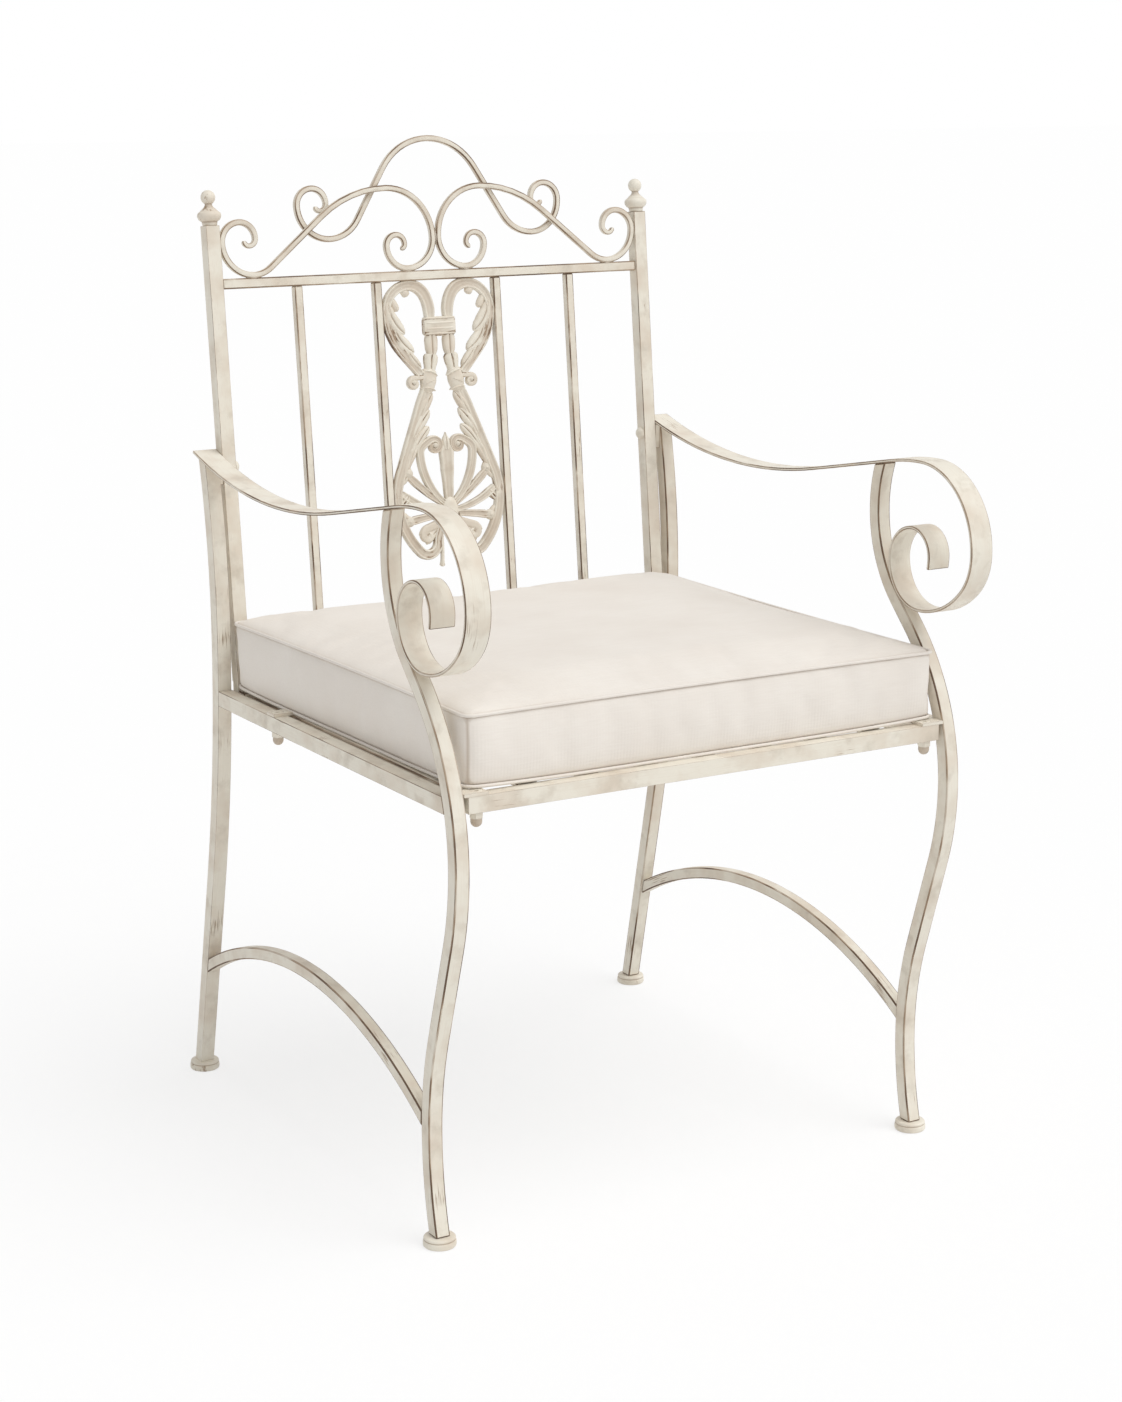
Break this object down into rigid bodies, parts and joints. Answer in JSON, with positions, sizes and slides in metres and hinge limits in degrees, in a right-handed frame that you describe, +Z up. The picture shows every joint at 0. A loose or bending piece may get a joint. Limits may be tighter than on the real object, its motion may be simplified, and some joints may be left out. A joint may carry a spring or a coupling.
{
  "type": "garden armchair",
  "caption": "Bolted metal garden armchair with scrolled strap arms, S-curved legs, ornamental back splat and a loose box seat cushion.",
  "frame": {"origin": "on the floor, at the middle of the whole chair's width and depth", "axes": "+Z up, the sitter faces -Y, +X is the sitter's left"},
  "size_m": [0.5542, 0.6036, 0.9465],
  "materials": {
    "frame_paint": "brushed antique cream paint, rubbed through at the edges",
    "cast_paint": "antique cream paint on a casting",
    "fixing_paint": "cream paint, worn on the corners",
    "cushion_cloth": "plain off-white outdoor cloth with piping"
  },
  "bodies": {
    "chair_frame": {"back_bottom_rail": "frame_paint", "back_splat": "cast_paint", "back_top_rail": "frame_paint", "crest_arch": "frame_paint", "left_arm_strap": "frame_paint", "left_back_post": "frame_paint", "left_crest_scroll": "frame_paint", "left_finial": "frame_paint", "left_front_foot": "frame_paint", "left_front_leg": "frame_paint", "left_front_seat_bolt": "fixing_paint", "left_front_seat_lug": "frame_paint", "left_front_seat_nut": "fixing_paint", "left_inner_spindle": "frame_paint", "left_lower_back_bolt": "fixing_paint", "left_outer_spindle": "frame_paint", "left_post_spacer": "frame_paint", "left_rear_foot": "frame_paint", "left_rear_leg": "frame_paint", "left_rear_seat_bolt": "fixing_paint", "left_rear_seat_lug": "frame_paint", "left_rear_seat_nut": "fixing_paint", "left_seat_edge_rail": "frame_paint", "left_side_rail": "frame_paint", "left_stretcher": "frame_paint", "left_upper_back_bolt": "fixing_paint", "right_arm_strap": "frame_paint", "right_back_post": "frame_paint", "right_crest_scroll": "frame_paint", "right_finial": "frame_paint", "right_front_foot": "frame_paint", "right_front_leg": "frame_paint", "right_front_seat_bolt": "fixing_paint", "right_front_seat_lug": "frame_paint", "right_front_seat_nut": "fixing_paint", "right_inner_spindle": "frame_paint", "right_lower_back_bolt": "fixing_paint", "right_outer_spindle": "frame_paint", "right_post_spacer": "frame_paint", "right_rear_foot": "frame_paint", "right_rear_leg": "frame_paint", "right_rear_seat_bolt": "fixing_paint", "right_rear_seat_lug": "frame_paint", "right_rear_seat_nut": "fixing_paint", "right_seat_edge_rail": "frame_paint", "right_side_rail": "frame_paint", "right_stretcher": "frame_paint", "right_upper_back_bolt": "fixing_paint", "seat_cross_brace": "frame_paint", "seat_front_rail": "frame_paint", "seat_rear_rail": "frame_paint", "seat_slat_1": "frame_paint", "seat_slat_2": "frame_paint", "seat_slat_3": "frame_paint", "seat_slat_4": "frame_paint", "seat_slat_5": "frame_paint", "seat_slat_6": "frame_paint", "seat_slat_7": "frame_paint"},
    "cushion": {"seat_cushion": "cushion_cloth"}
  },
  "joints": [
    {"name": "cushion_lift", "type": "slide", "parent": "chair_frame", "child": "cushion", "axis": [0, 0, 1], "range_m": [0, 0.25]}
  ]
}
